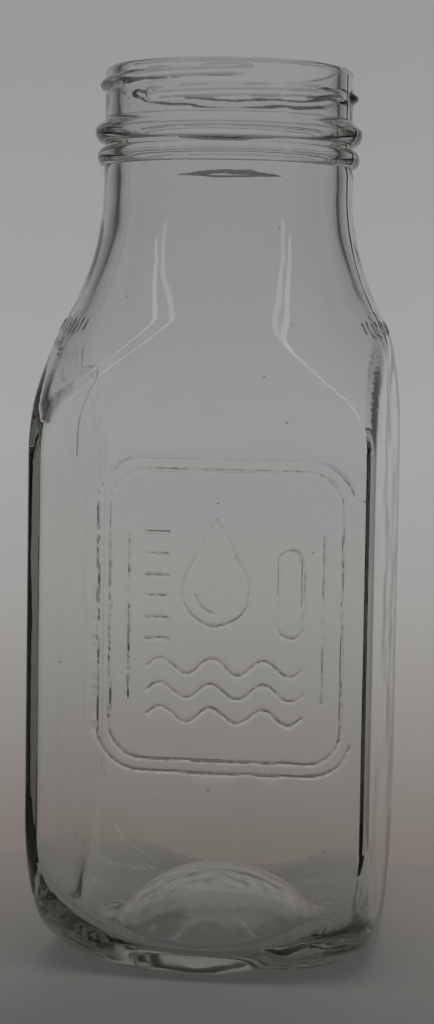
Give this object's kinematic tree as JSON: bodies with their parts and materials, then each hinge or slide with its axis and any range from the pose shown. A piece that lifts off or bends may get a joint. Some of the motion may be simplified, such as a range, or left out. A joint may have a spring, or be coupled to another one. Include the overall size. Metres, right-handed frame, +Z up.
{
  "type": "glass milk bottle",
  "caption": "Clear glass bottle for milk, square body with arched flats, round neck and a wide screw finish, open at the mouth.",
  "frame": {"origin": "centre of the flat ring that the bottle stands on", "axes": "+Z up along the bottle's axis towards the mouth, -Y out of the flat with the moulded panel, +X to the right of that flat"},
  "size_m": [0.0724, 0.0724, 0.191],
  "materials": {
    "clear_glass": "smooth moulded clear glass with a faint grey-green tint"
  },
  "bodies": {
    "root": {"glass_bottle": "clear_glass"}
  },
  "joints": []
}
